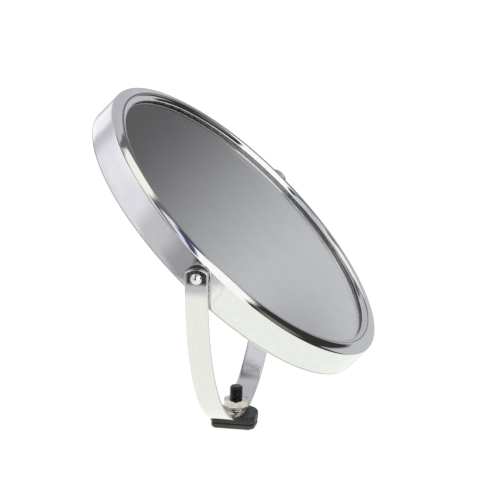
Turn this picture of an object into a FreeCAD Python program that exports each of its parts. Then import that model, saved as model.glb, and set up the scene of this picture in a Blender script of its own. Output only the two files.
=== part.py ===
"""Tilting shaving mirror head on a U-shaped yoke, with the clamp foot that carries it.

Frame, in millimetres: the origin is on the clamp bolt's axis at the foot's underside, +Z is up,
Y runs along the tilt axis and +X is the side that the front glass faces.
The mirror head has a frame of its own: Z is the axis of the round rim, with zero at the rear
crest, and Y is the tilt axis.
"""
import FreeCAD, Part

import math
import os
import re

import Sketcher
from FreeCAD import Placement, Rotation, Vector

DIMENSIONS = [
    # name, value, meaning
    ("rim_radius", 80.0, "outer radius of the round rim"),
    ("rim_depth", 15.9, "rim depth, rear crest to front crest"),
    ("sheet", 0.6, "thickness of the pressed rim metal"),
    ("front_crest", 74.6, "distance of the front flange's crest from the rim axis"),
    ("front_crown", 10.0, "curvature of the front flange outside its crest"),
    ("front_roll", 3.0, "curvature of the front flange's rolled inner edge"),
    ("rear_crest", 76.0, "distance of the rear flange's crest from the rim axis"),
    ("rear_crown", 12.0, "curvature of the rear flange outside its crest"),
    ("rear_roll", 7.0, "curvature of the rear flange's rolled inner edge"),
    ("front_corner", 0.8, "rounding between the front flange and the band"),
    ("rear_corner", 0.8, "rounding between the rear flange and the band"),
    ("lip_radius", 72.0, "radius of the round opening in each flange"),
    ("skirt_height", 5.0, "reach of the rear bezel's skirt inside the band"),
    ("seam", 0.1, "gap left at a joint line"),
    ("glass_radius", 75.0, "radius of both glasses"),
    ("glass_thickness", 3.0, "thickness of both glasses"),
    ("glass_bevel", 0.4, "ground bevel around each glass"),
    ("glass_level", 1.95, "depth of each glass edge below its crest"),
    ("magnifier_radius", 750.0, "curvature of the magnifying glass"),
    ("gasket_height", 1.6, "height of the front gasket"),
    ("gasket_slope", 0.6, "width of the slope round the front gasket's top"),
    ("spacer_wall", 2.5, "wall of the ring between the glasses"),
    ("board_thickness", 1.2, "thickness of the backing board"),
    ("pivot_level", 8.9, "height of the tilt axis above the rear crest"),
    ("tilt_angle", 43.2, "tilt of the rim axis from the vertical, in degrees"),
    ("pivot_diameter", 3.0, "shank of the pivot screws"),
    ("pivot_head", 4.9, "diameter of the domed pivot head"),
    ("pivot_dome", 1.3, "height of the domed pivot head"),
    ("pivot_end", 76.0, "distance of the pivot screw's end from the rim axis"),
    ("pivot_nut_width", 5.5, "width across flats of the pivot nuts"),
    ("pivot_nut_height", 2.4, "thickness of the pivot nuts"),
    ("saddle_diameter", 11.0, "diameter of the saddle between rim and washer"),
    ("saddle_face", 82.9, "distance of the saddle's flat face from the rim axis"),
    ("friction_diameter", 12.0, "diameter of the tilt friction washers"),
    ("friction_thickness", 0.75, "thickness of the tilt friction washers"),
    ("running_gap", 0.1, "clearance between faces that turn on each other"),
    ("bore_gap", 0.15, "extra diameter of a hole over its shaft"),
    ("strap_width", 10.0, "width of the yoke strap"),
    ("strap_thickness", 1.5, "thickness of the yoke strap"),
    ("yoke_half_span", 85.4, "tilt centre to the outer face of either arm"),
    ("yoke_drop", 1.2, "centre of the yoke's arc below the tilt axis"),
    ("seat_half", 6.0, "half length of the flat yoke seat"),
    ("tip_height", 4.2, "reach of the yoke's tips above the tilt axis"),
    ("tip_radius", 8.0, "rounding across the yoke's tips"),
    ("foot_half_width", 10.3, "half width of the foot"),
    ("foot_front", 10.2, "bolt axis to the foot's flat front"),
    ("foot_arc_centre", 1.0, "centre of the foot's round back, before the bolt axis"),
    ("foot_corner_x", 1.6, "width of the foot's cut front corners"),
    ("foot_corner_y", 2.4, "length of the foot's cut front corners"),
    ("plate_height", 2.1, "thickness of the foot plate"),
    ("groove_height", 0.6, "height of the groove round the foot"),
    ("groove_depth", 0.9, "depth of the groove round the foot"),
    ("plate_inset", 0.3, "step from the block's outline in to the plate's"),
    ("foot_height", 6.1, "overall height of the foot"),
    ("block_edge", 0.5, "rounding of the block's edges"),
    ("plate_edge", 0.5, "chamfer round the underside of the plate"),
    ("bolt_diameter", 5.95, "diameter of the clamp bolt"),
    ("bolt_top", 17.8, "height of the bolt's end above the foot's underside"),
    ("bolt_point", 0.8, "chamfer at the bolt's end"),
    ("bolt_head_width", 10.0, "width across flats of the sunk bolt head"),
    ("bolt_head_height", 1.9, "thickness of the sunk bolt head"),
    ("washer_diameter", 11.6, "diameter of the clamp washer"),
    ("washer_thickness", 0.5, "thickness of the clamp washer"),
    ("nut_width", 11.0, "width across flats of the clamp nut"),
    ("nut_height", 3.4, "thickness of the clamp nut"),
    ("nut_turn", 11.0, "turn of the clamp nut, in degrees"),
    ("nut_chamfer", 1.65, "reach of the nut's corner chamfers from its flats"),
    ("thread_gap", 0.04, "extra diameter of the nut's bore over the bolt"),
]

NAMES = {name for name, _, _ in DIMENSIONS}
VERTICAL = Vector(0, 0, 1)
ACROSS = Vector(0, 1, 0)

doc = FreeCAD.newDocument("shaving_mirror")
sheet = doc.addObject("Spreadsheet::Sheet", "Dimensions")
for row, (name, value, meaning) in enumerate(DIMENSIONS, start=1):
    sheet.set(f"A{row}", name)
    sheet.set(f"B{row}", str(value))
    sheet.setAlias(f"B{row}", name)
    sheet.set(f"C{row}", meaning)
doc.recompute()

BODIES = []


# Helpers ------------------------------------------------------------------------------------

def bound(formula):
    """Point every dimension name in a formula at its cell."""
    def cell(word):
        return "Dimensions." + word.group(0) if word.group(0) in NAMES else word.group(0)
    return re.sub(r"[a-z_]+", cell, formula)


def value_of(formula):
    return float(sheet.evalExpression(bound(formula)))


def new_body(label, placement):
    body = doc.addObject("PartDesign::Body", label)
    body.Label = label
    body.Placement = placement
    BODIES.append(body)
    return body


def new_sketch(body, plane, height="0"):
    """A sketch on one of the body's origin planes, raised along the plane's normal."""
    sketch = body.newObject("Sketcher::SketchObject", body.Label + "_sketch")
    support = next(item for item in body.Origin.OriginFeatures if item.Role == plane)
    sketch.AttachmentSupport = [(support, "")]
    sketch.MapMode = "FlatFace"
    if height != "0":
        sketch.setExpression("AttachmentOffset.Base.z", bound(height))
    return sketch


def constrain(sketch, kind, *where, formula):
    index = sketch.addConstraint(Sketcher.Constraint(kind, *where, value_of(formula)))
    sketch.setExpression(f"Constraints[{index}]", bound(formula))


def pin_point(sketch, edge, point, across, up):
    """Tie one end of an edge to its place, given as two formulas."""
    for kind, axis, formula in (("DistanceX", -2, across), ("DistanceY", -1, up)):
        if formula == "0":
            sketch.addConstraint(Sketcher.Constraint("PointOnObject", edge, point, axis))
        else:
            constrain(sketch, kind, -1, 1, edge, point, formula=formula)


def arc_centre(start, end, radius):
    """Centre of the short arc from start to end, which bulges left if its radius is positive."""
    chord = end - start
    rise = math.sqrt(max(radius * radius - chord.Length ** 2 / 4, 0.0))
    left = VERTICAL.cross(chord).normalize()
    return start + chord * 0.5 - left * math.copysign(rise, radius)


def fix_size(sketch, edge, formula, radius, ends):
    """Give an arc its radius, or its centre where it is a half circle."""
    (start, first), (end, last) = ends
    chord = end - start
    if chord.Length < 2 * abs(radius) - 1e-6:
        constrain(sketch, "Radius", edge, formula=formula.lstrip("-"))
    elif abs(chord.y) > abs(chord.x):
        constrain(sketch, "DistanceX", -1, 1, edge, 3, formula=f"({first[0]} + {last[0]}) / 2")
    else:
        constrain(sketch, "DistanceY", -1, 1, edge, 3, formula=f"({first[1]} + {last[1]}) / 2")


def outline(sketch, corners, arcs=None):
    """A closed outline through corners; arcs gives the radius formula of the sides that bend.

    A side bulges to the left of the way round, or to the right if its formula starts with a minus.
    """
    arcs = arcs or {}
    places = [Vector(value_of(across), value_of(up), 0) for across, up in corners]
    ends = []
    for side, (start, end) in enumerate(zip(places, places[1:] + places[:1])):
        if side not in arcs:
            ends.append((sketch.addGeometry(Part.LineSegment(start, end)), 1, 2))
            continue
        radius = value_of(arcs[side])
        centre = arc_centre(start, end, radius)
        clockwise = radius > 0
        low, high = (end, start) if clockwise else (start, end)
        turns = [math.atan2(place.y - centre.y, place.x - centre.x) for place in (low, high)]
        whole = Part.Circle(centre, VERTICAL, abs(radius))
        edge = sketch.addGeometry(Part.ArcOfCircle(whole, turns[0], turns[1]))
        ends.append((edge, 2, 1) if clockwise else (edge, 1, 2))
    for side, (edge, _, tail) in enumerate(ends):
        following, head, _ = ends[(side + 1) % len(ends)]
        sketch.addConstraint(Sketcher.Constraint("Coincident", edge, tail, following, head))
    for (edge, head, _), (across, up) in zip(ends, corners):
        pin_point(sketch, edge, head, across, up)
    for side, formula in arcs.items():
        following = (side + 1) % len(places)
        pair = ((places[side], corners[side]), (places[following], corners[following]))
        fix_size(sketch, ends[side][0], formula, value_of(formula), pair)


def circle(sketch, radius, up="0"):
    """A circle on the sketch's upright axis."""
    centre = Vector(0, value_of(up), 0)
    edge = sketch.addGeometry(Part.Circle(centre, VERTICAL, value_of(radius)))
    pin_point(sketch, edge, 3, "0", up)
    constrain(sketch, "Radius", edge, formula=radius)


def hexagon(sketch, width):
    """A regular hexagon about the sketch's origin, from its width across flats."""
    side = f"({width}) / sqrt(3)"
    flat = f"({width}) / 2"
    tip = f"({side}) / 2"
    outline(sketch, [
        (side, "0"), (tip, flat), (f"-({tip})", flat),
        (f"-({side})", "0"), (f"-({tip})", f"-({flat})"), (tip, f"-({flat})"),
    ])


def revolved(body, corners, arcs=None, cut=False):
    """Turn an outline of (radius, height) corners about the body's Z axis."""
    sketch = new_sketch(body, "XZ_Plane")
    outline(sketch, corners, arcs)
    feature = body.newObject("PartDesign::Groove" if cut else "PartDesign::Revolution",
                             body.Label + ("_groove" if cut else "_turned"))
    feature.Profile = (sketch, [""])
    feature.ReferenceAxis = (sketch, ["V_Axis"])
    feature.Angle = 360.0
    return feature


def padded(body, sketch, length, symmetric=False):
    feature = body.newObject("PartDesign::Pad", body.Label + "_pad")
    feature.Profile = sketch
    feature.SideType = "Symmetric" if symmetric else "One side"
    feature.setExpression("Length", bound(length))
    return feature


def drilled(body, sketch):
    """Cut a sketch right through the body, both ways."""
    feature = body.newObject("PartDesign::Pocket", body.Label + "_hole")
    feature.Profile = sketch
    feature.SideType = "Symmetric"
    feature.Type = "ThroughAll"
    return feature


def rounded(body, base, edges, radius, kind="Fillet"):
    """Fillet or chamfer the named edges of the base feature."""
    feature = body.newObject("PartDesign::" + kind, body.Label + "_" + kind.lower())
    feature.Base = (base, edges)
    feature.setExpression("Radius" if kind == "Fillet" else "Size", bound(radius))
    return feature


def edges_where(feature, test):
    """Names of the feature's edges whose bounding box passes a test."""
    doc.recompute()
    return [f"Edge{number}" for number, edge in enumerate(feature.Shape.Edges, start=1)
            if test(edge, edge.BoundBox)]


# Frames -------------------------------------------------------------------------------------

SEAT_DEPTH = "(yoke_drop + sqrt(yoke_half_span^2 - seat_half^2))"
FOOT = Placement()
YOKE = Placement(VERTICAL * value_of(f"foot_height + running_gap + {SEAT_DEPTH}"), Rotation())
TILT = Rotation(ACROSS, value_of("tilt_angle"))
HEAD = YOKE * Placement(TILT.multVec(VERTICAL) * -value_of("pivot_level"), TILT)
HALF_TURN = Placement(Vector(), Rotation(VERTICAL, 180))
SIDES = {"left": HEAD * HALF_TURN, "right": HEAD}


# Mirror head --------------------------------------------------------------------------------

def flange(side):
    """Key points of the front or rear flange, measured down from its crest.

    Outside the crest the flange falls along an arc of the crown radius, and a small arc joins it
    to the band. Inside the crest it rolls over along a tighter arc to a half-round lip. Each entry
    is a (radius, depth below the crest) pair of formulas.
    """
    crest, crown, roll, corner = (f"{side}_{word}" for word in ("crest", "crown", "roll", "corner"))
    over = f"(rim_radius - {corner} - {crest})"
    reach = f"({crown} - {corner})"
    fall = f"sqrt({reach}^2 - {over}^2)"
    lip = f"({crest} - lip_radius - sheet / 2)"
    lip_reach = f"({roll} - sheet / 2)"
    lip_fall = f"sqrt({lip_reach}^2 - {lip}^2)"

    def outside(radius):
        return f"{crest} + {radius} * {over} / {reach}", f"({crown} - {radius} * {fall} / {reach})"

    def inside(radius):
        across = f"{crest} - {radius} * {lip} / {lip_reach}"
        return across, f"({roll} - {radius} * {lip_fall} / {lip_reach})"

    return {
        "band": f"({crown} - {fall})",
        "shoulder": outside(crown),
        "crest": (crest, "0"),
        "lip": inside(roll),
        "lip_back": inside(f"({roll} - sheet)"),
        "crest_back": (crest, "sheet"),
        "shoulder_back": outside(f"({crown} - sheet)"),
    }


def front_rim():
    """The pressed band with its front flange, drilled for the two pivot screws."""
    body = new_body("front_rim", HEAD)
    key = flange("front")

    def place(name):
        across, depth = key[name]
        return across, f"rim_depth - {depth}"

    top = f"rim_depth - {key['band']}"
    rear = f"{flange('rear')['band']} + seam"
    revolved(body, [
        ("rim_radius", rear),
        ("rim_radius", top),
        place("shoulder"),
        place("crest"),
        place("lip"),
        place("lip_back"),
        place("crest_back"),
        place("shoulder_back"),
        ("rim_radius - sheet", top),
        ("rim_radius - sheet", rear),
    ], {1: "-front_corner", 2: "-front_crown", 3: "-front_roll", 4: "-sheet / 2",
        5: "front_roll - sheet", 6: "front_crown - sheet", 7: "front_corner - sheet"})
    holes = new_sketch(body, "XZ_Plane")
    circle(holes, "(pivot_diameter + bore_gap) / 2", "pivot_level")
    drilled(body, holes)


def rear_bezel():
    """The pressed rear flange, whose skirt grips inside the band."""
    body = new_body("rear_bezel", HEAD)
    key = flange("rear")
    skirt = "(rim_radius - sheet - seam / 2)"
    inside = f"({skirt} - sheet)"
    meets = f"rear_crown - sqrt((rear_crown - sheet)^2 - ({inside} - rear_crest)^2)"
    revolved(body, [
        (f"{skirt}", key["band"]),
        ("rim_radius", key["band"]),
        key["shoulder"],
        key["crest"],
        key["lip"],
        key["lip_back"],
        key["crest_back"],
        (inside, meets),
        (inside, "skirt_height"),
        (skirt, "skirt_height"),
    ], {1: "rear_corner", 2: "rear_crown", 3: "rear_roll", 4: "sheet / 2",
        5: "-(rear_roll - sheet)", 6: "-(rear_crown - sheet)"})


def front_glass():
    body = new_body("front_glass", HEAD)
    top = "rim_depth - glass_level"
    bottom = f"{top} - glass_thickness"
    revolved(body, [
        ("0", bottom),
        ("glass_radius - glass_bevel", bottom),
        ("glass_radius", f"{bottom} + glass_bevel"),
        ("glass_radius", f"{top} - glass_bevel"),
        ("glass_radius - glass_bevel", top),
        ("0", top),
    ])


def rear_glass():
    """The magnifying glass: an even sheet sagged to a shallow dish that opens to the rear."""
    body = new_body("rear_glass", HEAD)
    sag = "(magnifier_radius - sqrt(magnifier_radius^2 - glass_radius^2))"
    revolved(body, [
        ("0", f"glass_level + {sag}"),
        ("glass_radius", "glass_level"),
        ("glass_radius", "glass_level + glass_thickness"),
        ("0", f"glass_level + glass_thickness + {sag}"),
    ], {0: "magnifier_radius", 2: "-magnifier_radius"})


def gaskets():
    """Soft rings that fill the corners between the glass edges and the metal."""
    front = new_body("front_gasket", HEAD)
    top = "rim_depth - glass_level"
    bore = "glass_radius + seam / 2"
    wall = "rim_radius - sheet - seam"
    revolved(front, [
        (bore, f"{top} - gasket_height"),
        (wall, f"{top} - gasket_height"),
        (wall, f"{top} - gasket_height + sheet / 2"),
        (f"{wall} - gasket_slope", top),
        (bore, top),
    ])
    rear = new_body("rear_gasket", HEAD)
    skirt = "rim_radius - sheet * 2 - seam * 3 / 2"
    revolved(rear, [
        (bore, "glass_level"),
        (skirt, "glass_level"),
        (skirt, "glass_level + glass_thickness"),
        (bore, "glass_level + glass_thickness"),
    ])


def spacer_and_board():
    """The ring that holds the glasses apart, and the board that backs the front glass."""
    top = "rim_depth - glass_level - glass_thickness"
    inside = "glass_radius - spacer_wall"
    dish = f"sqrt(magnifier_radius^2 - ({inside})^2) - sqrt(magnifier_radius^2 - glass_radius^2)"
    bottom = f"glass_level + glass_thickness + {dish}"
    ring = new_body("spacer_ring", HEAD)
    revolved(ring, [(inside, bottom), ("glass_radius", bottom), ("glass_radius", top), (inside, top)])
    board = new_body("backing_board", HEAD)
    edge = f"{inside} - seam"
    low = f"{top} - board_thickness"
    revolved(board, [("0", low), (edge, low), (edge, top), ("0", top)])


# Pivots -------------------------------------------------------------------------------------

def cross_axis(side):
    """Frame of one pivot: Z runs along the tilt axis, outwards, from the rim's axis."""
    place = Placement(VERTICAL * value_of("pivot_level"), Rotation(Vector(1, 0, 0), -90))
    return SIDES[side] * place


def ring(label, placement, radius, bore, low, high):
    """A plain turned ring."""
    body = new_body(label, placement)
    revolved(body, [(bore, low), (radius, low), (radius, high), (bore, high)])
    return body


def pivot(side):
    """One tilt pivot: screw, saddle, friction washer and nut."""
    place = cross_axis(side)
    bore = "(pivot_diameter + bore_gap) / 2"

    screw = new_body(side + "_pivot_screw", place)
    shank = "pivot_diameter / 2"
    seat = "yoke_half_span + running_gap"
    dome = "((pivot_head / 2)^2 + pivot_dome^2) / (2 * pivot_dome)"
    revolved(screw, [
        ("0", "pivot_end"),
        (f"{shank} - bore_gap", "pivot_end"),
        (shank, "pivot_end + bore_gap"),
        (shank, seat),
        ("pivot_head / 2", seat),
        ("0", f"{seat} + pivot_dome"),
    ], {4: f"-{dome}"})

    saddle = ring(side + "_pivot_saddle", place, "saddle_diameter / 2", bore,
                  "rim_radius - sheet", "saddle_face")
    hollow = new_sketch(saddle, "XZ_Plane")
    circle(hollow, "rim_radius", "0")
    drilled(saddle, hollow)

    ring(side + "_friction_washer", place, "friction_diameter / 2", bore,
         "saddle_face", "saddle_face + friction_thickness")

    nut = new_body(side + "_pivot_nut", place)
    outer = "rim_radius - sheet - running_gap"
    blank = new_sketch(nut, "XY_Plane", f"{outer} - pivot_nut_height")
    hexagon(blank, "pivot_nut_width")
    padded(nut, blank, "pivot_nut_height")
    hole = new_sketch(nut, "XY_Plane")
    circle(hole, "pivot_diameter / 2")
    drilled(nut, hole)


# Yoke ---------------------------------------------------------------------------------------

def yoke_strap():
    """One flat strap bent to a U, with a flat seat, rounded tips and three holes."""
    body = new_body("yoke_strap", YOKE)

    def side_points(inset):
        """Corners of the right-hand half at one face of the strap, from tip to seat."""
        span = f"(yoke_half_span - {inset})"
        depth = f"({SEAT_DEPTH} - {inset})"
        lands = f"sqrt({span}^2 - ({depth} - yoke_drop)^2)"
        return [(span, "tip_height"), (span, "-yoke_drop"), (lands, f"-{depth}")]

    def mirrored(points):
        return [(f"-{across}", up) for across, up in reversed(points)]

    outer = side_points("0")
    inner = side_points("strap_thickness")
    corners = outer + mirrored(outer) + list(reversed(mirrored(inner))) + list(reversed(inner))
    sketch = new_sketch(body, "YZ_Plane")
    inside = "-(yoke_half_span - strap_thickness)"
    outline(sketch, corners, {1: "yoke_half_span", 3: "yoke_half_span", 7: inside, 9: inside})
    padded(body, sketch, "strap_width", symmetric=True)

    half = "(strap_width / 2)"
    shoulder = f"tip_height - tip_radius + sqrt(tip_radius^2 - {half}^2)"
    above = "tip_height * 2"
    tips = new_sketch(body, "XZ_Plane")
    outline(tips, [
        (f"-{half}", shoulder), (half, shoulder), (half, above), (f"-{half}", above),
    ], {0: "tip_radius"})
    drilled(body, tips)
    pivots = new_sketch(body, "XZ_Plane")
    circle(pivots, "(pivot_diameter + bore_gap) / 2")
    drilled(body, pivots)
    seat = new_sketch(body, "XY_Plane")
    circle(seat, "(bolt_diameter + bore_gap) / 2")
    drilled(body, seat)


# Foot ---------------------------------------------------------------------------------------

def foot_outline(sketch, inset):
    """The foot seen from above: flat front with cut corners, straight sides and a round back."""
    half = f"(foot_half_width - {inset})"
    front = f"-(foot_front - {inset})"
    back = "-foot_arc_centre"
    outline(sketch, [
        (half, back),
        (f"-{half}", back),
        (f"-{half}", f"{front} + foot_corner_y"),
        (f"-{half} + foot_corner_x", front),
        (f"{half} - foot_corner_x", front),
        (half, f"{front} + foot_corner_y"),
    ], {0: f"-{half}"})


def foot_block():
    """The block under the yoke, with the neck that leaves a groove above the plate."""
    body = new_body("foot_block", FOOT)
    top = new_sketch(body, "XY_Plane", "plate_height + groove_height")
    foot_outline(top, "0")
    block = padded(body, top, "foot_height - plate_height - groove_height")
    rim = edges_where(block, lambda edge, box: box.ZLength < 0.01)
    rounded(body, block, rim, "block_edge")
    neck = new_sketch(body, "XY_Plane", "plate_height")
    foot_outline(neck, "groove_depth")
    padded(body, neck, "groove_height + block_edge")
    hole = new_sketch(body, "XY_Plane")
    circle(hole, "(bolt_diameter + bore_gap) / 2")
    drilled(body, hole)


def foot_plate():
    """The plate under the groove, with the hexagonal opening that holds the bolt's head."""
    body = new_body("foot_plate", FOOT)
    sketch = new_sketch(body, "XY_Plane")
    foot_outline(sketch, "plate_inset")
    plate = padded(body, sketch, "plate_height")
    under = edges_where(plate, lambda edge, box: box.ZMax < 0.01)
    rounded(body, plate, under, "plate_edge", "Chamfer")
    opening = new_sketch(body, "XY_Plane")
    hexagon(opening, "bolt_head_width + bore_gap * 2")
    drilled(body, opening)


def clamp_bolt():
    """The bolt, its thin hexagonal head sunk in the plate and its end standing above the nut."""
    body = new_body("clamp_bolt", FOOT)
    low = "plate_height - bolt_head_height"
    head = new_sketch(body, "XY_Plane", low)
    hexagon(head, "bolt_head_width")
    padded(body, head, "bolt_head_height")
    shank = "bolt_diameter / 2"
    revolved(body, [
        ("0", low),
        (shank, low),
        (shank, "bolt_top - bolt_point"),
        (f"{shank} - bolt_point", "bolt_top"),
        ("0", "bolt_top"),
    ])


def clamp_washer_and_nut():
    """The washer and hexagonal nut on the yoke's seat."""
    bore = "(bolt_diameter + bore_gap) / 2"
    under = "foot_height + strap_thickness + running_gap * 2"
    ring("clamp_washer", FOOT, "washer_diameter / 2", bore, under, f"{under} + washer_thickness")

    low = f"({under} + washer_thickness)"
    high = f"({low} + nut_height)"
    turned = Placement(Vector(), Rotation(VERTICAL, value_of("nut_turn") - 90))
    nut = new_body("clamp_nut", turned)
    blank = new_sketch(nut, "XY_Plane", low)
    hexagon(blank, "nut_width")
    padded(nut, blank, "nut_height")
    flat = "(nut_width / 2)"
    tip = f"({flat} + nut_chamfer)"
    slope = "(nut_chamfer / 2)"
    revolved(nut, [(flat, high), (tip, high), (tip, f"{high} - {slope}")], cut=True)
    revolved(nut, [(flat, low), (tip, f"{low} + {slope}"), (tip, low)], cut=True)
    hole = new_sketch(nut, "XY_Plane")
    circle(hole, "(bolt_diameter + thread_gap) / 2")
    drilled(nut, hole)


# Build, check and write ---------------------------------------------------------------------

front_rim()
rear_bezel()
front_glass()
rear_glass()
gaskets()
spacer_and_board()
for name in SIDES:
    pivot(name)
yoke_strap()
foot_block()
foot_plate()
clamp_bolt()
clamp_washer_and_nut()
doc.recompute()

for item in doc.Objects:
    if "Invalid" in item.State or "Error" in item.State:
        raise RuntimeError(f"{item.Label} did not compute: {item.State} {item.getStatusString()}")

os.makedirs("parts", exist_ok=True)
for body in BODIES:
    shape = body.Shape
    if shape.isNull() or not shape.isValid() or len(shape.Solids) != 1:
        raise RuntimeError(f"{body.Label} is not one valid solid")
    shape.exportStep(f"parts/{body.Label}.step")
    box = shape.BoundBox
    print(f"{body.Label:22s} {shape.Volume:10.1f} mm3  "
          f"x {box.XMin:7.2f} {box.XMax:7.2f}  y {box.YMin:7.2f} {box.YMax:7.2f}  "
          f"z {box.ZMin:7.2f} {box.ZMax:7.2f}")
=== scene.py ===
"""Looks of the tilting shaving mirror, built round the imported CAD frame.

Lengths in the dimensions below are millimetres, as in the CAD source, and become metres in the
meshes. The mirror head has a frame of its own: Z is the rim's axis with zero at the rear crest,
and Y is the tilt axis.
"""

import math

import bpy
from mathutils import Matrix, Vector


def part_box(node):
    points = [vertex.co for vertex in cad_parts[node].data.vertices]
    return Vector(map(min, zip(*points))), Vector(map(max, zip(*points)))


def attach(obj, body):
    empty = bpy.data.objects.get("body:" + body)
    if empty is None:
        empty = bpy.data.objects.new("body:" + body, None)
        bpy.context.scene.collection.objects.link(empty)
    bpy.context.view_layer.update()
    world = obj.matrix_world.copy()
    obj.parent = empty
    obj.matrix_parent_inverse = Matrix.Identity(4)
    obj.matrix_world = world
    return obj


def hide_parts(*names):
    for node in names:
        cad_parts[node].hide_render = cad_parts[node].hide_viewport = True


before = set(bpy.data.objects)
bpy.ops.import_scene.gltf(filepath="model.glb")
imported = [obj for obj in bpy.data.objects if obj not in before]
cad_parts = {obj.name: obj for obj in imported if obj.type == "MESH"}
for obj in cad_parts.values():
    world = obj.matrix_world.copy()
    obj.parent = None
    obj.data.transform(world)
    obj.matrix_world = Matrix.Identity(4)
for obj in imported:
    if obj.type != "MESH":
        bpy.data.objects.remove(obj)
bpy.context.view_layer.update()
scene = bpy.context.scene
MM = 0.001

# Dimensions ---------------------------------------------------------------------------------

TILT = 43.2
PIVOT_LEVEL = 8.9
RIM_RADIUS, RIM_DEPTH, SHEET, SEAM = 80.0, 15.9, 0.6, 0.1
# each flange: radius of its crest, then the arcs outside it, inside it and at the band
FRONT = (74.6, 10.0, 3.0, 0.8)
REAR = (76.0, 12.0, 7.0, 0.8)
LIP_RADIUS, SKIRT_HEIGHT = 72.0, 5.0
GLASS_RADIUS, GLASS_THICK, GLASS_BEVEL, GLASS_LEVEL = 75.0, 3.0, 0.4, 1.95
DISH_RADIUS = 750.0
# the silvering lies just inside the back of each glass, short of its edge
COAT_NEAR, COAT_FAR, COAT_RADIUS = 0.10, 0.05, 74.5
SCREW_RADIUS, SCREW_END, SCREW_HEAD, SCREW_DOME = 1.5, 76.0, 2.45, 1.3
SADDLE_RADIUS, SADDLE_FACE, SADDLE_BORE = 5.5, 82.9, 1.58
WASHER_RADIUS, WASHER_THICK, WASHER_BORE = 6.0, 0.75, 1.6
YOKE_SPAN, YOKE_DROP, STRAP_WIDTH, STRAP_THICK = 85.4, 1.2, 10.0, 1.5
RUNNING_GAP = 0.1
TIP_HEIGHT, TIP_RADIUS, SEAT_HALF = 4.2, 8.0, 6.0
FOOT_HALF, FOOT_FRONT, FOOT_BACK, FOOT_TOP = 10.3, 10.2, -1.0, 6.1
PLATE_TOP, GROOVE_TOP = 2.1, 2.7
ON_AXIS = 1e-6
# how many sides a turned mesh has
RIM_SIDES, GLASS_SIDES, DISH_SIDES, COAT_SIDES = 540, 360, 300, 240
WASHER_SIDES, SCREW_SIDES = 120, 96


def middle(node):
    low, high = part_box(node)
    return (low + high) / 2


PIVOT = Vector((0.0, 0.0, middle("left_pivot_screw").z))
HEAD = (Matrix.Translation(PIVOT) @ Matrix.Rotation(math.radians(TILT), 4, "Y")
        @ Matrix.Translation((0, 0, -PIVOT_LEVEL * MM)))
UPRIGHT = Matrix.Identity(4)


def pivot_frame(side):
    """Z runs outwards along the tilt axis, from the rim's axis; X and Y keep the head's tilt."""
    turn = Matrix.Rotation(math.radians(-90 if side == "right" else 90), 4, "X")
    return Matrix.Translation(PIVOT) @ Matrix.Rotation(math.radians(TILT), 4, "Y") @ turn


# Mesh helpers -------------------------------------------------------------------------------

def make(name, verts, faces, material, body, nodes, place=UPRIGHT, sharp=32.0, uvs=None):
    """A piece from points in millimetres, which rides on a body and stands for CAD nodes."""
    mesh = bpy.data.meshes.new(name)
    mesh.from_pydata([place @ (Vector(v) * MM) for v in verts], [], faces)
    if uvs:
        layer = mesh.uv_layers.new(name="along")
        for loop in mesh.loops:
            layer.data[loop.index].uv = uvs[loop.vertex_index]
    mesh.validate()
    mesh.update()
    mesh.shade_smooth()
    mesh.set_sharp_from_angle(angle=math.radians(sharp))
    mesh.materials.append(material)
    piece = bpy.data.objects.new(name, mesh)
    scene.collection.objects.link(piece)
    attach(piece, body)
    if nodes:
        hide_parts(*nodes)


def arc(centre, radius, start, end, count):
    """Points on an arc. Angles are in degrees from the first axis."""
    steps = [math.radians(start + (end - start) * k / count) for k in range(count + 1)]
    return [(centre[0] + radius * math.cos(a), centre[1] + radius * math.sin(a)) for a in steps]


def eased(corners, radius, count=4):
    """A closed profile with each of its corners rounded."""
    points = []
    total = len(corners)
    for k, corner in enumerate(corners):
        here = Vector(corner)
        before = Vector(corners[k - 1]) - here
        after = Vector(corners[(k + 1) % total]) - here
        reach = min(radius, before.length * 0.45, after.length * 0.45)
        start, end = here + before.normalized() * reach, here + after.normalized() * reach
        for step in range(count + 1):
            t = step / count
            points.append(tuple(start * (1 - t) ** 2 + here * 2 * t * (1 - t) + end * t ** 2))
    return points


def lathe(profile, count):
    """A closed profile of (radius, height) points turned about Z, its faces outwards."""
    area = sum(a[0] * b[1] - b[0] * a[1] for a, b in zip(profile, profile[1:] + profile[:1]))
    if area < 0:
        profile = profile[::-1]
    verts, faces, rings = [], [], []
    for radius, height in profile:
        if radius < ON_AXIS:
            rings.append([len(verts)] * count)
            verts.append((0.0, 0.0, height))
            continue
        rings.append([len(verts) + k for k in range(count)])
        for k in range(count):
            a = 2 * math.pi * k / count
            verts.append((radius * math.cos(a), radius * math.sin(a), height))
    for ring, following in zip(rings, rings[1:] + rings[:1]):
        for k in range(count):
            j = (k + 1) % count
            face = []
            for index in (ring[k], ring[j], following[j], following[k]):
                if index not in face:
                    face.append(index)
            if len(face) > 2:
                faces.append(face)
    return verts, faces


def stack(rings, caps=(True, True)):
    """Faces between rings of equal length, with the first and last ring closed if asked."""
    verts = [point for ring in rings for point in ring]
    count = len(rings[0])
    faces = []
    for level in range(len(rings) - 1):
        low, high = level * count, (level + 1) * count
        for k in range(count):
            j = (k + 1) % count
            faces.append((low + k, low + j, high + j, high + k))
    if caps[0]:
        faces.append(tuple(reversed(range(count))))
    if caps[1]:
        faces.append(tuple(range(len(verts) - count, len(verts))))
    return verts, faces


# Material helpers ---------------------------------------------------------------------------

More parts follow.
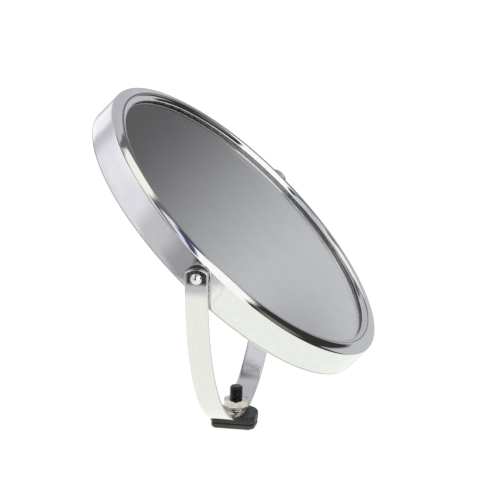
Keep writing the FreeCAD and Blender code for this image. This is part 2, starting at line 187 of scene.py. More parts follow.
class Nodes:
    """A short way to write node trees."""

    def __init__(self, tree):
        self.tree = tree
        tree.nodes.clear()

    def add(self, kind, inputs=None, **settings):
        node = self.tree.nodes.new(kind)
        for key, value in settings.items():
            setattr(node, key, value)
        for key, value in (inputs or {}).items():
            if isinstance(value, bpy.types.NodeSocket):
                self.tree.links.new(value, node.inputs[key])
            else:
                node.inputs[key].default_value = value
        return node

    def math(self, operation, *values):
        node = self.add("ShaderNodeMath", dict(enumerate(values)), operation=operation)
        return node.outputs[0]

    def ramp(self, value, low, high, start=0.0, end=1.0):
        """A smooth step of value between low and high."""
        node = self.add("ShaderNodeMapRange", {
            "Value": value, "From Min": low, "From Max": high, "To Min": start, "To Max": end,
        }, interpolation_type="SMOOTHSTEP")
        return node.outputs[0]

    def mix(self, factor, first, second):
        node = self.add("ShaderNodeMix", data_type="RGBA")
        for index, value in ((0, factor), (6, first), (7, second)):
            if isinstance(value, bpy.types.NodeSocket):
                self.tree.links.new(value, node.inputs[index])
            elif index:
                node.inputs[index].default_value = (*value, 1.0)
            else:
                node.inputs[index].default_value = value
        return node.outputs[2]

    def noise(self, vector, scale, detail=3.0, roughness=0.5):
        return self.add("ShaderNodeTexNoise", {
            "Vector": vector, "Scale": scale, "Detail": detail, "Roughness": roughness,
        }).outputs["Fac"]

    def stretched(self, vector, scale):
        return self.add("ShaderNodeMapping", {"Vector": vector, "Scale": scale}).outputs[0]


def material(name, colour, metallic, **sockets):
    """A material with a principled shader, and its node helper, place and shader."""
    made = bpy.data.materials.new(name)
    made.use_nodes = True
    nodes = Nodes(made.node_tree)
    shader = nodes.add("ShaderNodeBsdfPrincipled", {
        "Base Color": (*colour, 1.0), "Metallic": metallic, **sockets,
    })
    out = nodes.add("ShaderNodeOutputMaterial")
    made.node_tree.links.new(shader.outputs[0], out.inputs["Surface"])
    place = nodes.add("ShaderNodeTexCoord").outputs["Object"]
    return made, nodes, place, shader


def feed(nodes, shader, colour, roughness=None, height=None, depth=0.0):
    """Link a shader's colour and roughness, and bump it by a height."""
    links = nodes.tree.links
    links.new(colour, shader.inputs["Base Color"])
    if roughness is not None:
        links.new(roughness, shader.inputs["Roughness"])
    if height is not None:
        bump = nodes.add("ShaderNodeBump", {"Strength": 1.0, "Distance": depth,
                                            "Height": height})
        links.new(bump.outputs[0], shader.inputs["Normal"])


def chrome():
    """Bright plating: faint press ripples, polishing haze and sparse fine specks."""
    made, nodes, place, shader = material("chrome_plate", (0.80, 0.80, 0.805), 1.0)
    ripple = nodes.noise(place, 55.0, 2.0)
    haze = nodes.noise(place, 260.0, 4.0, 0.6)
    specks = nodes.ramp(nodes.noise(place, 2600.0, 1.0), 0.74, 0.80)
    rough = nodes.math("ADD", nodes.ramp(haze, 0.35, 0.75, 0.015, 0.05),
                       nodes.math("MULTIPLY", specks, 0.12))
    tone = nodes.mix(nodes.ramp(haze, 0.3, 0.8), (0.815, 0.815, 0.82), (0.775, 0.775, 0.785))
    feed(nodes, shader, tone, rough, ripple, 0.00004)
    return made


def brushed_steel():
    """Satin strip metal with fine lines along its length."""
    made, nodes, _, shader = material("brushed_strip", (0.80, 0.80, 0.79), 1.0,
                                      Anisotropic=0.75)
    along = nodes.add("ShaderNodeUVMap", uv_map="along").outputs[0]
    lines = nodes.noise(nodes.stretched(along, (900.0, 9.0, 1.0)), 1.0, 4.0, 0.7)
    broad = nodes.noise(nodes.stretched(along, (160.0, 3.0, 1.0)), 1.0, 2.0)
    tone = nodes.mix(nodes.ramp(lines, 0.25, 0.8), (0.83, 0.83, 0.82), (0.73, 0.735, 0.73))
    rough = nodes.math("ADD", nodes.ramp(lines, 0.3, 0.75, 0.05, 0.10),
                       nodes.ramp(broad, 0.35, 0.7, 0.0, 0.04))
    feed(nodes, shader, tone, rough, lines, 0.000012)
    tangent = nodes.add("ShaderNodeTangent", direction_type="UV_MAP", uv_map="along")
    nodes.tree.links.new(tangent.outputs[0], shader.inputs["Tangent"])
    return made


def turned_metal(name, light, dark, roughness):
    """Small turned or pressed fittings with fine marks and darker handling stains."""
    made, nodes, place, shader = material(name, light, 1.0)
    fine = nodes.noise(place, 900.0, 3.0, 0.6)
    stain = nodes.noise(place, 320.0, 3.0, 0.55)
    tone = nodes.mix(nodes.ramp(stain, 0.35, 0.75), light, dark)
    rough = nodes.ramp(fine, 0.3, 0.75, roughness, roughness + 0.09)
    feed(nodes, shader, tone, rough, fine, 0.000015)
    return made


def yellow_zinc():
    """Passivated zinc with a warm, slightly uneven tint."""
    made, nodes, place, shader = material("yellow_zinc", (0.86, 0.79, 0.68), 1.0)
    cloud = nodes.noise(place, 420.0, 4.0, 0.6)
    fine = nodes.noise(place, 2500.0, 3.0, 0.6)
    tone = nodes.mix(nodes.ramp(cloud, 0.3, 0.75), (0.95, 0.91, 0.83), (0.84, 0.74, 0.60))
    feed(nodes, shader, tone, nodes.ramp(fine, 0.3, 0.75, 0.16, 0.30), fine, 0.00002)
    return made


def black_oxide():
    """Blackened steel, worn to grey where it has been handled."""
    made, nodes, place, shader = material("black_oxide", (0.02, 0.02, 0.021), 0.3)
    fine = nodes.noise(place, 1800.0, 3.0, 0.6)
    wear = nodes.ramp(nodes.noise(place, 700.0, 3.0), 0.60, 0.78)
    tone = nodes.mix(wear, (0.016, 0.017, 0.018), (0.07, 0.07, 0.07))
    feed(nodes, shader, tone, nodes.ramp(fine, 0.3, 0.75, 0.14, 0.26), fine, 0.00003)
    return made


def moulded(name, dark, light, roughness):
    """Moulded plastic with a fine spark-eroded grain."""
    made, nodes, place, shader = material(name, dark, 0.0, **{"Specular IOR Level": 0.5})
    grain = nodes.noise(place, 3800.0, 2.0, 0.6)
    cloud = nodes.noise(place, 240.0, 3.0)
    tone = nodes.mix(nodes.ramp(cloud, 0.35, 0.75), dark, light)
    feed(nodes, shader, tone, nodes.ramp(grain, 0.3, 0.7, roughness, roughness + 0.12),
         grain, 0.00004)
    return made


def clear_glass():
    """Float glass with a trace of green and the lightest film of dust."""
    made, nodes, place, shader = material("clear_glass", (0.975, 0.985, 0.98), 0.0,
                                          IOR=1.52, **{"Transmission Weight": 1.0})
    film = nodes.noise(place, 1400.0, 3.0, 0.65)
    tone = nodes.mix(nodes.ramp(film, 0.3, 0.8), (0.98, 0.985, 0.985), (0.955, 0.965, 0.965))
    feed(nodes, shader, tone, nodes.ramp(film, 0.70, 0.85, 0.0, 0.006))
    return made


def silvering():
    """The bright coat behind the glass, with a faint unevenness."""
    made, nodes, place, shader = material("silvering", (0.90, 0.90, 0.905), 1.0, Roughness=0.0)
    cloud = nodes.noise(place, 90.0, 2.0)
    tone = nodes.mix(nodes.ramp(cloud, 0.3, 0.7), (0.90, 0.90, 0.91), (0.875, 0.875, 0.885))
    feed(nodes, shader, tone)
    return made


def rubber():
    made, nodes, place, shader = material("soft_rubber", (0.02, 0.02, 0.02), 0.0)
    grain = nodes.noise(place, 1500.0, 3.0, 0.6)
    tone = nodes.mix(nodes.ramp(grain, 0.3, 0.7), (0.014, 0.014, 0.015), (0.035, 0.035, 0.035))
    feed(nodes, shader, tone, nodes.ramp(grain, 0.3, 0.7, 0.55, 0.75), grain, 0.00005)
    return made


def fibreboard():
    made, nodes, place, shader = material("fibreboard", (0.28, 0.20, 0.13), 0.0)
    fibre = nodes.noise(nodes.stretched(place, (1.0, 6.0, 1.0)), 500.0, 5.0, 0.7)
    tone = nodes.mix(nodes.ramp(fibre, 0.3, 0.7), (0.20, 0.14, 0.09), (0.36, 0.27, 0.18))
    feed(nodes, shader, tone, nodes.ramp(fibre, 0.3, 0.7, 0.7, 0.9), fibre, 0.0001)
    return made


CHROME = chrome()
STEEL = brushed_steel()
FITTING = turned_metal("polished_fitting", (0.80, 0.80, 0.80), (0.68, 0.67, 0.66), 0.05)
WASHER = turned_metal("plain_washer", (0.62, 0.61, 0.60), (0.44, 0.43, 0.42), 0.12)
ZINC = yellow_zinc()
OXIDE = black_oxide()
BLOCK = moulded("block_plastic", (0.018, 0.021, 0.021), (0.030, 0.034, 0.035), 0.30)
PLATE = moulded("plate_plastic", (0.052, 0.045, 0.038), (0.080, 0.068, 0.056), 0.42)
GLASS = clear_glass()
SILVER = silvering()
RUBBER = rubber()
BOARD = fibreboard()
SPACER = moulded("spacer_plastic", (0.30, 0.30, 0.31), (0.38, 0.38, 0.39), 0.5)


# Mirror head --------------------------------------------------------------------------------

def flange(crest, crown, roll, corner):
    """Outer face, lip and inner face of a flange as (radius, depth) points, band to lip to band."""
    over, reach = RIM_RADIUS - corner - crest, crown - corner
    join = math.degrees(math.asin(over / reach))
    fall = math.sqrt(reach ** 2 - over ** 2)
    turn = math.degrees(math.asin((crest - LIP_RADIUS - SHEET / 2) / (roll - SHEET / 2)))
    lip_depth = roll - (roll - SHEET / 2) * math.cos(math.radians(turn))

    def swept(centre, radius, start, end, count):
        points = []
        for k in range(count + 1):
            a = math.radians(start + (end - start) * k / count)
            points.append((centre[0] + radius * math.sin(a), centre[1] - radius * math.cos(a)))
        return points

    corner_centre = (RIM_RADIUS - corner, crown - fall)
    outer = (swept(corner_centre, corner, 90, join, 12)
             + swept((crest, crown), crown, join, 0, 20)[1:]
             + swept((crest, roll), roll, 0, -turn, 16)[1:])
    round_lip = swept((LIP_RADIUS + SHEET / 2, lip_depth), SHEET / 2, -turn, -turn - 180, 12)[1:-1]
    inner = (swept((crest, roll), roll - SHEET, -turn, 0, 10)
             + swept((crest, crown), crown - SHEET, 0, join, 12)[1:]
             + swept(corner_centre, corner - SHEET, join, 90, 4)[1:])
    return outer, round_lip, inner, crown - fall


def front_rim():
    outer, lip, inner, _ = flange(*FRONT)
    rear = flange(*REAR)[3] + SEAM
    edge = 0.12
    profile = [(r, RIM_DEPTH - d) for r, d in outer + lip + inner]
    inside = RIM_RADIUS - SHEET
    profile += [(inside, RIM_DEPTH / 2), (inside, rear)]
    profile += arc((RIM_RADIUS - edge, rear + edge), edge, -90, 0, 4)
    profile += [(RIM_RADIUS, RIM_DEPTH * k / 8) for k in range(2, 6)]
    verts, faces = lathe(profile, RIM_SIDES)
    make("rim_front", verts, faces, CHROME, "mirror_head", ["front_rim"],
         HEAD, sharp=60)


def rear_bezel():
    outer, lip, inner, depth = flange(*REAR)
    skirt = RIM_RADIUS - SHEET - SEAM / 2
    inside = skirt - SHEET
    profile = list(outer + lip) + [point for point in inner if point[0] < inside]
    profile += [(inside, SKIRT_HEIGHT), (skirt, SKIRT_HEIGHT), (skirt, depth)]
    verts, faces = lathe(profile, RIM_SIDES)
    make("rim_rear", verts, faces, CHROME, "mirror_head", ["rear_bezel"],
         HEAD, sharp=60)


def front_glass():
    top = RIM_DEPTH - GLASS_LEVEL
    bottom = top - GLASS_THICK
    bevel = GLASS_BEVEL
    slab = [(0, top), (GLASS_RADIUS - bevel, top), (GLASS_RADIUS, top - bevel),
            (GLASS_RADIUS, bottom + bevel), (GLASS_RADIUS - bevel, bottom), (0, bottom)]
    verts, faces = lathe(slab, GLASS_SIDES)
    make("glass_front", verts, faces, GLASS, "mirror_head", ["front_glass"],
         HEAD, sharp=20)
    coat = [(0, bottom + COAT_NEAR), (COAT_RADIUS, bottom + COAT_NEAR),
            (COAT_RADIUS, bottom + COAT_FAR), (0, bottom + COAT_FAR)]
    verts, faces = lathe(coat, COAT_SIDES)
    make("silver_front", verts, faces, SILVER, "mirror_head", [], HEAD, sharp=20)


def rear_glass():
    """The magnifying glass is dished, so its faces are arcs about a far centre."""
    edge = math.sqrt(DISH_RADIUS ** 2 - GLASS_RADIUS ** 2)

    def face(level, reach, rings=24):
        points = []
        for k in range(rings + 1):
            radius = reach * k / rings
            points.append((radius, level + math.sqrt(DISH_RADIUS ** 2 - radius ** 2) - edge))
        return points

    slab = face(GLASS_LEVEL, GLASS_RADIUS) + face(GLASS_LEVEL + GLASS_THICK, GLASS_RADIUS)[::-1]
    verts, faces = lathe(slab, DISH_SIDES)
    make("glass_rear", verts, faces, GLASS, "mirror_head", ["rear_glass"],
         HEAD, sharp=30)
    back = GLASS_LEVEL + GLASS_THICK
    coat = face(back - COAT_NEAR, COAT_RADIUS) + face(back - COAT_FAR, COAT_RADIUS)[::-1]
    verts, faces = lathe(coat, COAT_SIDES)
    make("silver_rear", verts, faces, SILVER, "mirror_head", [], HEAD, sharp=30)


front_rim()
rear_bezel()
front_glass()
rear_glass()


# Pivots -------------------------------------------------------------------------------------

def pivot(side):
    """Domed screw, saddle and friction washer of one tilt pivot."""
    place = pivot_frame(side)
    outer = YOKE_SPAN + RUNNING_GAP
    ball = (SCREW_HEAD ** 2 + SCREW_DOME ** 2) / (2 * SCREW_DOME)
    spread = math.asin(SCREW_HEAD / ball)
    cap = [(ball * math.sin(a), outer + SCREW_DOME - ball + ball * math.cos(a))
           for a in [spread * (1 - k / 14) for k in range(15)]]
    cap[-1] = (0.0, cap[-1][1])
    chamfer = 0.15
    profile = [(0, SCREW_END), (SCREW_RADIUS - chamfer, SCREW_END),
               (SCREW_RADIUS, SCREW_END + chamfer), (SCREW_RADIUS, outer),
               (SCREW_HEAD - 0.1, outer), (SCREW_HEAD, outer + 0.05)] + cap[1:]
    verts, faces = lathe(profile, SCREW_SIDES)
    make(side + "_dome_screw", verts, faces, FITTING, "mirror_head", [side + "_pivot_screw"],
         place, sharp=40)

    count = 120
    rings = []
    shoulder_start = 82.3
    for radius, height in [(SADDLE_BORE, 0), (SADDLE_RADIUS, 0), (SADDLE_RADIUS, shoulder_start)]:
        ring = []
        for k in range(count):
            a = 2 * math.pi * k / count
            x, y = radius * math.cos(a), radius * math.sin(a)
            ring.append((x, y, height or math.sqrt(RIM_RADIUS ** 2 - x * x) + 0.01))
        rings.append(ring)
    shoulder = arc((SADDLE_RADIUS - 0.5, SADDLE_FACE - 0.5), 0.5, 10, 90, 6)
    bore_edge = [(SADDLE_BORE + 0.12, SADDLE_FACE), (SADDLE_BORE, SADDLE_FACE - 0.1)]
    for radius, height in shoulder + bore_edge:
        rings.append([(radius * math.cos(2 * math.pi * k / count),
                       radius * math.sin(2 * math.pi * k / count), height) for k in range(count)])
    verts, faces = stack(rings + rings[:1], (False, False))
    make(side + "_saddle", verts, faces, CHROME, "mirror_head", [side + "_pivot_saddle"],
         place, sharp=40)

    low, high = SADDLE_FACE, SADDLE_FACE + WASHER_THICK
    profile = eased([(WASHER_BORE, low), (WASHER_RADIUS, low), (WASHER_RADIUS, high),
                     (WASHER_BORE, high)], 0.15)
    verts, faces = lathe(profile, WASHER_SIDES)
    make(side + "_tilt_washer", verts, faces, WASHER, "mirror_head", [side + "_friction_washer"],
         place, sharp=40)


for each in ("left", "right"):
    pivot(each)


# Yoke ---------------------------------------------------------------------------------------

def yoke():
    """The strap: stations along the U, each with a rounded rectangular section."""
    depth = YOKE_DROP + math.sqrt(YOKE_SPAN ** 2 - SEAT_HALF ** 2)
    inner_span = YOKE_SPAN - STRAP_THICK
    inner_land = math.sqrt(inner_span ** 2 - (depth - STRAP_THICK - YOKE_DROP) ** 2)
    sweep = math.degrees(math.acos(SEAT_HALF / YOKE_SPAN))
    inner_sweep = math.degrees(math.acos(inner_land / inner_span))
    half = []
    for k in range(6):
        t = k / 6
        half.append(("tip", 1 - t, (YOKE_SPAN, 0), (inner_span, 0)))
    steps = 96
    for k in range(steps + 1):
        a, b = math.radians(sweep * k / steps), math.radians(inner_sweep * k / steps)
        half.append(("bend", 0,
                     (YOKE_SPAN * math.cos(a), -YOKE_DROP - YOKE_SPAN * math.sin(a)),
                     (inner_span * math.cos(b), -YOKE_DROP - inner_span * math.sin(b))))
    half.append(("seat", 0, (SEAT_HALF * 0.5, -depth), (SEAT_HALF * 0.5, -depth + STRAP_THICK)))

    edge = 0.22
    w, t = STRAP_WIDTH / 2, STRAP_THICK
    across = [-w + edge + (2 * w - 2 * edge) * k / 12 for k in range(13)]
    section = [(x, 0.0) for x in across]
    section += arc((w - edge, edge), edge, -90, 0, 3)[1:]
    section += arc((w - edge, t - edge), edge, 0, 90, 3)
    section += [(x, t) for x in reversed(across)][1:]
    section += arc((-w + edge, t - edge), edge, 90, 180, 3)[1:]
    section += arc((-w + edge, edge), edge, 180, 270, 3)[:-1]

    def ring(kind, share, outer, inner, sign, shrink=0.0, lower=0.0):
        points = []
        for x, into in section:
            x, into = x * (1 - shrink / w), t / 2 + (into - t / 2) * (1 - shrink / (t / 2))
            y = outer[0] + (inner[0] - outer[0]) * into / t
            z = outer[1] + (inner[1] - outer[1]) * into / t
            if kind == "tip":
                top = TIP_HEIGHT - TIP_RADIUS + math.sqrt(TIP_RADIUS ** 2 - x * x) - lower
                z = -YOKE_DROP + (top + YOKE_DROP) * share
            points.append((x, y * sign, z))
        return points

    rings, tips = [], half[0]
    for shrink, lower in ((0.30, 0.0), (0.22, 0.03), (0.1, 0.12)):
        rings.append(ring(*tips, 1, shrink, lower))
    rings.append(ring(*tips, 1, 0.0, 0.30))
    rings += [ring(*station, 1) for station in half[1:]]
    rings += [ring(*station, -1) for station in reversed(half[1:])]
    rings.append(ring(*tips, -1, 0.0, 0.30))
    for shrink, lower in ((0.1, 0.12), (0.22, 0.03), (0.30, 0.0)):
        rings.append(ring(*tips, -1, shrink, lower))
    verts, faces = stack(rings)
    uvs, run, last = [], 0.0, None
    for points in rings:
        centre = Vector(points[0])
        run += (centre - last).length if last else 0.0
        last = centre
        uvs += [(x / 100, run / 100) for x, _, _ in points]
    place = Matrix.Translation(PIVOT)
    make("yoke_band", verts, faces, STEEL, "yoke", ["yoke_strap"], place,
         sharp=50, uvs=uvs)


yoke()


# Clamp and foot -----------------------------------------------------------------------------

def hexagon(flat, count=144, power=70):
    """Radius of a slightly rounded hexagon at evenly spaced angles."""
    radii = []
    for k in range(count):
        a = 2 * math.pi * k / count
        total = sum(abs(math.cos(a - math.radians(60 * side))) ** power for side in range(3))
        radii.append(flat * total ** (-1 / power))
    return radii


def turned_ring(radii, height, drop=lambda radius: 0.0):
    count = len(radii)
    return [(r * math.cos(2 * math.pi * k / count), r * math.sin(2 * math.pi * k / count),
             height - drop(r)) for k, r in enumerate(radii)]


def clamp_nut(low, high, flat=5.5, bore=3.0):
    hexes = hexagon(flat)
    plain = [1.0] * len(hexes)

    def ring(radius, height):
        return turned_ring([radius * p for p in plain], height)

    def shaped(scale, height, lift, sign):
        shrunk = [r - scale for r in hexes]
        return turned_ring(shrunk, height + lift, lambda r: sign * max(0.0, r - flat + 0.25) * 0.5)

    rings = [ring(bore, low + 0.4), ring(bore + 0.4, low), ring(flat - 0.5, low),
             shaped(0.10, low, 0.0, -1), shaped(0.0, low, 0.12, -1),
             shaped(0.0, high, -0.12, 1), shaped(0.10, high, 0.0, 1),
             ring(flat - 0.5, high), ring(bore + 0.4, high), ring(bore, high - 0.4)]
    verts, faces = stack(rings + rings[:1], (False, False))
    turn = -49.0
    place = Matrix.Rotation(math.radians(turn), 4, "Z")
    make("zinc_nut", verts, faces, ZINC, "foot", ["clamp_nut"], place,
         sharp=28)


def clamp_bolt(low, top, radius=2.975, pitch=1.0, depth=0.58, head=5.0, head_high=2.1):
    """Hexagonal head, plain shank and a helical thread with a chamfered end."""
    count = 72
    hexes = [r - 0.02 for r in hexagon(head, count)]
    rings = [turned_ring([r - 0.2 for r in hexes], low), turned_ring(hexes, low + 0.2),
             turned_ring(hexes, head_high)]
    rings.append(turned_ring([radius] * count, head_high))
    start, per_turn, run_in, chamfer, groove_half = 8.0, 14, 0.5, 0.8, 0.42
    rings.append(turned_ring([radius] * count, start))
    steps = int((top - start) / pitch * per_turn)
    for level in range(1, steps + 1):
        height = start + (top - start) * level / steps
        fade = min(1.0, (height - start) / run_in)
        cap = radius - max(0.0, height - (top - chamfer))
        ring = []
        for k in range(count):
            phase = (height / pitch - k / count) % 1.0
            groove = max(0.0, 1.0 - abs(phase - 0.5) / groove_half)
            r = min(radius - depth * groove * fade, cap)
            a = 2 * math.pi * k / count
            ring.append((r * math.cos(a), r * math.sin(a), height))
        rings.append(ring)
    verts, faces = stack(rings)
    make("threaded_bolt", verts, faces, OXIDE, "foot", ["clamp_bolt"],
         sharp=40)


def clamp_washer(low, high, bore=3.05, radius=5.8):
    profile = eased([(bore, low), (radius, low), (radius, high), (bore, high)], 0.12)
    verts, faces = lathe(profile, WASHER_SIDES)
    make("flat_washer", verts, faces, WASHER, "foot", ["clamp_washer"],
         sharp=40)


def foot_outline(inset):
    """Flat front with cut corners, straight sides and a round back, anticlockwise."""
    half, front, back = FOOT_HALF - inset, FOOT_FRONT - inset, FOOT_BACK
    cut_side, cut_front, reach = 2.4, 1.6, 0.55
    corners = [(-half, -front + cut_side), (-half + cut_front, -front),
               (half - cut_front, -front), (half, -front + cut_side)]
    points = []
    for k, corner in enumerate(corners):
        here = Vector(corner)
        before = Vector(corners[k - 1] if k else (-half, back))
        after = Vector(corners[k + 1] if k < 3 else (half, back))
        start = here + (before - here).normalized() * reach
        end = here + (after - here).normalized() * reach
        for step in range(7):
            s = step / 6
            points.append(tuple(start * (1 - s) ** 2 + here * 2 * s * (1 - s) + end * s ** 2))
    return points + arc((0.0, back), half, 0, 180, 60)


def layered(levels):
    """Rings of the foot's outline at (inset, height) levels."""
    return stack([[(x, y, height) for x, y in foot_outline(inset)] for inset, height in levels])


def rounding(inset, height, radius, upwards):
    """(inset, height) levels of a rounded edge that ends flat at the given height."""
    sign = 1 if upwards else -1
    levels = []
    for k in range(7):
        a = math.radians(90 * k / 6)
        levels.append((inset + radius * (1 - math.cos(a)),
                       height - sign * radius * (1 - math.sin(a))))
    return levels


def foot():
    neck = 0.9
    lower = rounding(0.0, GROOVE_TOP, 0.5, False)[::-1]
    upper = rounding(0.0, FOOT_TOP, 0.5, True)
    verts, faces = layered([(neck, PLATE_TOP), (neck, GROOVE_TOP)] + lower + upper)
    make("foot_body", verts, faces, BLOCK, "foot", ["foot_block"], sharp=40)
    edge = rounding(0.3, PLATE_TOP, 0.15, True)
    verts, faces = layered([(0.8, 0.0), (0.55, 0.15), (0.3, 0.5)] + edge)
    make("foot_base_plate", verts, faces, PLATE, "foot", ["foot_plate"], sharp=30)


nut_low, nut_high = (corner.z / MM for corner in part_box("clamp_nut"))
bolt_low, bolt_top = (corner.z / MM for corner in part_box("clamp_bolt"))
washer_low, washer_high = (corner.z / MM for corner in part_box("clamp_washer"))
clamp_nut(nut_low, nut_high)
clamp_bolt(bolt_low, bolt_top)
clamp_washer(washer_low, washer_high)
foot()

# CAD nodes that stay ------------------------------------------------------------------------

for node, finish in {
    "front_gasket": RUBBER, "rear_gasket": RUBBER, "spacer_ring": SPACER, "backing_board": BOARD,
    "left_pivot_nut": FITTING, "right_pivot_nut": FITTING,
}.items():
    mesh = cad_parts[node].data
    for index in range(len(mesh.materials)):
        mesh.materials[index] = finish


# Studio -------------------------------------------------------------------------------------

def floor():
    """A white sheet. Metal does not mirror it: the studio below the horizon stands for it."""
    reach = 6.0
    mesh = bpy.data.meshes.new("floor")
    corners = [(-reach, -reach, 0), (reach, -reach, 0), (reach, reach, 0), (-reach, reach, 0)]
    mesh.from_pydata(corners, [], [(0, 1, 2, 3)])
    made = bpy.data.materials.new("floor_white")
    made.use_nodes = True
    nodes = Nodes(made.node_tree)
    place = nodes.add("ShaderNodeTexCoord").outputs["Object"]
    tone = nodes.mix(nodes.noise(place, 2.0), (0.22, 0.22, 0.22), (0.24, 0.24, 0.24))
    paper = nodes.add("ShaderNodeBsdfDiffuse", {"Color": tone})
    glow = nodes.add("ShaderNodeEmission", {"Color": (1.0, 1.0, 1.0, 1.0), "Strength": 0.94})
    both = nodes.add("ShaderNodeAddShader")
    out = nodes.add("ShaderNodeOutputMaterial")
    links = made.node_tree.links
    links.new(paper.outputs[0], both.inputs[0])
    links.new(glow.outputs[0], both.inputs[1])
    links.new(both.outputs[0], out.inputs["Surface"])
    mesh.materials.append(made)
    piece = bpy.data.objects.new("floor", mesh)
    piece.visible_glossy = False
    piece.visible_transmission = False
    scene.collection.objects.link(piece)


class Studio:
    """Panels and walls of a photo studio, by compass bearing from +Y and height, in degrees."""

    def __init__(self):
        world = bpy.data.worlds.new("studio")
        scene.world = world
        world.use_nodes = True
        self.nodes = Nodes(world.node_tree)
        direction = self.nodes.add("ShaderNodeTexCoord").outputs["Generated"]
        split = self.nodes.add("ShaderNodeSeparateXYZ", {0: direction}).outputs
        turn = self.nodes.math("ARCTAN2", split[0], split[1])
        self.bearing = self.nodes.math("DEGREES", turn)
        self.height = self.nodes.math("DEGREES", self.nodes.math("ARCSINE", split[2]))
        self.colour = (0.5, 0.5, 0.5)

    def side(self, start, end, soft):
        """One on the left of the line from start to end, fading over a soft edge."""
        across, up = end[0] - start[0], end[1] - start[1]
        length = math.hypot(across, up)
        a = self.nodes.math("MULTIPLY", self.bearing, -up / length)
        b = self.nodes.math("MULTIPLY", self.height, across / length)
        away = self.nodes.math("ADD", a, b)
        level = (-up * start[0] + across * start[1]) / length
        return self.nodes.ramp(away, level - soft / 2, level + soft / 2)

    def panel(self, corners, colour, soft=2.0):
        """A convex panel, its corners anticlockwise. A corner's third number softens its edge."""
        mask = None
        for start, end in zip(corners, corners[1:] + corners[:1]):
            edge = self.side(start, end, start[2] if len(start) > 2 else soft)
            mask = edge if mask is None else self.nodes.math("MULTIPLY", mask, edge)
        self.colour = self.nodes.mix(mask, self.colour, colour)

    def streak(self, path, colour, core, radius):
        """A line of light or shade along a path, full to its core and gone at its radius."""
        nodes = self.nodes
        nearest = None
        for start, end in zip(path, path[1:]):
            across, up = end[0] - start[0], end[1] - start[1]
            square = across * across + up * up
            a = nodes.math("SUBTRACT", self.bearing, start[0])
            b = nodes.math("SUBTRACT", self.height, start[1])
            run = nodes.math("ADD", nodes.math("MULTIPLY", a, across / square),
                             nodes.math("MULTIPLY", b, up / square))
            run = nodes.math("MINIMUM", nodes.math("MAXIMUM", run, 0.0), 1.0)
            a = nodes.math("SUBTRACT", a, nodes.math("MULTIPLY", run, across))
            b = nodes.math("SUBTRACT", b, nodes.math("MULTIPLY", run, up))
            away = nodes.math("SQRT", nodes.math("ADD", nodes.math("MULTIPLY", a, a),
                                                 nodes.math("MULTIPLY", b, b)))
            nearest = away if nearest is None else nodes.math("MINIMUM", nearest, away)
        mask = nodes.ramp(nearest, core, radius, 1.0, 0.0)
        self.colour = nodes.mix(mask, self.colour, colour)

    def done(self, backdrop):
        nodes = self.nodes
        glow = nodes.add("ShaderNodeBackground", {"Color": self.colour, "Strength": 1.0})
        plain = nodes.add("ShaderNodeBackground", {"Color": (*backdrop, 1.0), "Strength": 1.0})
        seen = nodes.add("ShaderNodeLightPath").outputs["Is Camera Ray"]
        both = nodes.add("ShaderNodeMixShader", {0: seen, 1: glow.outputs[0],
                                                 2: plain.outputs[0]})
        out = nodes.add("ShaderNodeOutputWorld")
        nodes.tree.links.new(both.outputs[0], out.inputs["Surface"])


def shown(red, green, blue):
    """The light that bright plating shows at these display levels of 0 to 255."""
    return tuple(((level / 255 + 0.055) / 1.055) ** 2.4 / 0.8 for level in (red, green, blue))


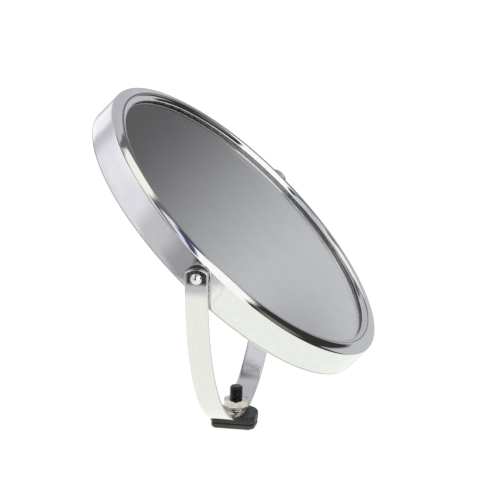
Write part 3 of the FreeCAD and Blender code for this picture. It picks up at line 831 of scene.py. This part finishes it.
def studio():
    """White sheet, pale walls, three softboxes on the right and the dark room below them."""
    lights = Studio()
    panel, streak = lights.panel, lights.streak
    lights.colour = shown(188, 188, 194)
    # left wall, from the near corner of the room to the far one
    panel([(-181, -60), (-128, -60), (-128, 22), (-181, 22)], shown(190, 188, 190), 12.0)
    panel([(-128, -60), (-62, -60), (-62, 56), (-128, 56)], shown(219, 219, 224), 14.0)
    panel([(-150, 24), (-56, 24), (-56, 52), (-150, 52)], shown(238, 238, 242), 8.0)
    panel([(-48, -40), (-14, -40), (-14, -6), (-30, 5), (-48, 16)], shown(240, 240, 243), 9.0)
    panel([(-26, -14), (13, -14), (13, 52), (-26, 52)], shown(176, 176, 183), 14.0)
    # ceiling
    panel([(-181, 70), (10, 70), (10, 91), (-181, 91)], shown(138, 138, 141), 6.0)
    panel([(10, 72), (181, 72), (181, 91), (10, 91)], shown(208, 208, 206), 6.0)
    panel([(14, 58), (75, 58), (75, 88), (14, 88)], shown(233, 235, 226), 5.0)
    panel([(-181, 24), (-150, 24), (-132, 60), (-120, 82), (-181, 82)], shown(84, 84, 88), 10.0)
    panel([(-100, 58), (-12, 55), (16, 56), (8, 68), (-100, 70)], shown(90, 90, 92), 7.0)
    # lower right
    panel([(0, -60), (181, -60), (181, 16), (0, 16)], shown(184, 185, 188), 5.0)
    # a dark stand that leads up to the view of the glass, and the wall that cuts it off
    streak([(-9, -10), (9.5, 7.5)], shown(138, 138, 142), 0.8, 5.5)
    streak([(3.5, 1.0), (12.0, 8.2)], shown(122, 122, 122), 0.6, 3.2)
    streak([(10.0, 11.2), (16.5, 17.7)], shown(88, 88, 89), 0.2, 4.3)
    panel([(15.8, 17.4, 0.7), (9.6, 11.2), (2, 14), (4, 34), (14, 34)], shown(177, 177, 182), 2.5)
    # softboxes
    panel([(18, 18), (46, 54), (38, 60), (19, 58)], shown(236, 239, 229))
    panel([(24, 20), (84, 44), (84, 54), (60, 56), (42, 50)], shown(214, 216, 230))
    panel([(19, 18.5), (140, -24), (176, -24), (176, 44), (98, 49.5), (80, 48.5), (60, 44.5),
           (41, 37)], shown(247, 248, 244))
    streak([(20, 19), (32, 37), (42, 50), (50, 55)], shown(104, 106, 108), 0.8, 2.6)
    streak([(24, 22), (41, 38.3), (60, 46), (80, 50), (98, 51.5), (125, 50)], shown(70, 74, 96),
           0.9, 2.6)
    streak([(15.8, 18), (16.6, 26), (16.5, 42), (13, 52)], shown(98, 100, 100), 0.9, 2.3)
    streak([(41, 51), (53, 53.5), (70, 55)], shown(92, 92, 97), 1.0, 3.6)
    # the dark room under them
    panel([(16.8, 11.2, 2.0), (25, 8.4, 3.0), (60, 8.4, 8.0), (66, 30), (44, 26), (26, 19.5)],
          shown(50, 47, 47), 2.5)
    panel([(43, 0, 9.0), (49, -19, 5.0), (92, -17, 7.0), (119, 9, 4.0), (101, 23), (80, 30),
           (63, 30.5), (54, 16, 9.0)], shown(50, 48, 45), 2.5)
    panel([(53, 16), (80, 13), (84, 25), (56, 27)], shown(118, 114, 108), 6.0)
    # white sheet underneath, and the stand in front of it
    panel([(-181, -90), (181, -90), (181, -24), (-181, -24)], shown(233, 235, 229), 6.0)
    panel([(-170, -17), (-150, -17, 14.0), (-150, 16, 8.0), (-170, 16)], shown(150, 149, 154), 2.0)
    panel([(-180, -18.2), (-163, -18.2, 4.0), (-163, 14, 8.0), (-180, 14, 4.0)],
          shown(18, 18, 22), 1.6)
    lights.done((1.02, 1.02, 1.02))


def camera():
    """The product view: from the front right, a little above, with a long lens."""
    data = bpy.data.cameras.new("camera")
    data.lens = 240.3
    data.sensor_width = 36.0
    data.clip_start, data.clip_end = 0.05, 50.0
    made = bpy.data.objects.new("camera", data)
    scene.collection.objects.link(made)
    made.location = PIVOT + Vector((0.2952, -1.4155, 0.4007))
    aim = PIVOT + Vector((0.00621, -0.00158, -0.00980))
    look = (aim - made.location).to_track_quat("-Z", "Y")
    roll = Matrix.Rotation(math.radians(0.478), 4, "Z").to_quaternion()
    made.rotation_mode = "QUATERNION"
    made.rotation_quaternion = look @ roll
    scene.camera = made


floor()
studio()
camera()
scene.view_settings.view_transform = "Standard"

bpy.context.view_layer.update()
